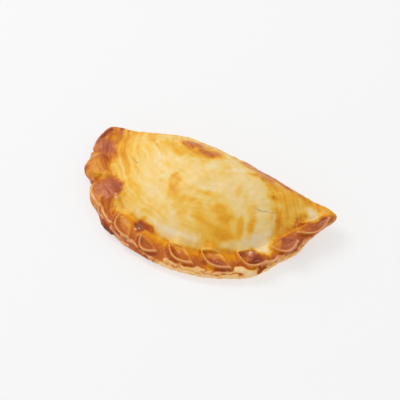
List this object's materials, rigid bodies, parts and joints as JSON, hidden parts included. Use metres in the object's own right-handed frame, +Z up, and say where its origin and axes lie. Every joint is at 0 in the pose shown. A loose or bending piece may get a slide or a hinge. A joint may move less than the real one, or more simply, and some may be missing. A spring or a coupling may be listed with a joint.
{
  "type": "beef empanada",
  "caption": "Half-moon baked turnover with a domed, egg-washed crust, a folded straight back and a twisted rope crimp round its curved edge.",
  "frame": {"origin": "on the table, under the middle of the crust's box", "axes": "+X along the fold towards the right tip, +Y from the crimped edge towards the fold, +Z up"},
  "size_m": [0.13, 0.0694, 0.028],
  "materials": {
    "crust": "baked dough with egg wash: satin, pale gold on the dome, golden orange in brush strokes, red-brown in the crimps"
  },
  "bodies": {
    "root": {"pastry": "crust"}
  },
  "joints": []
}
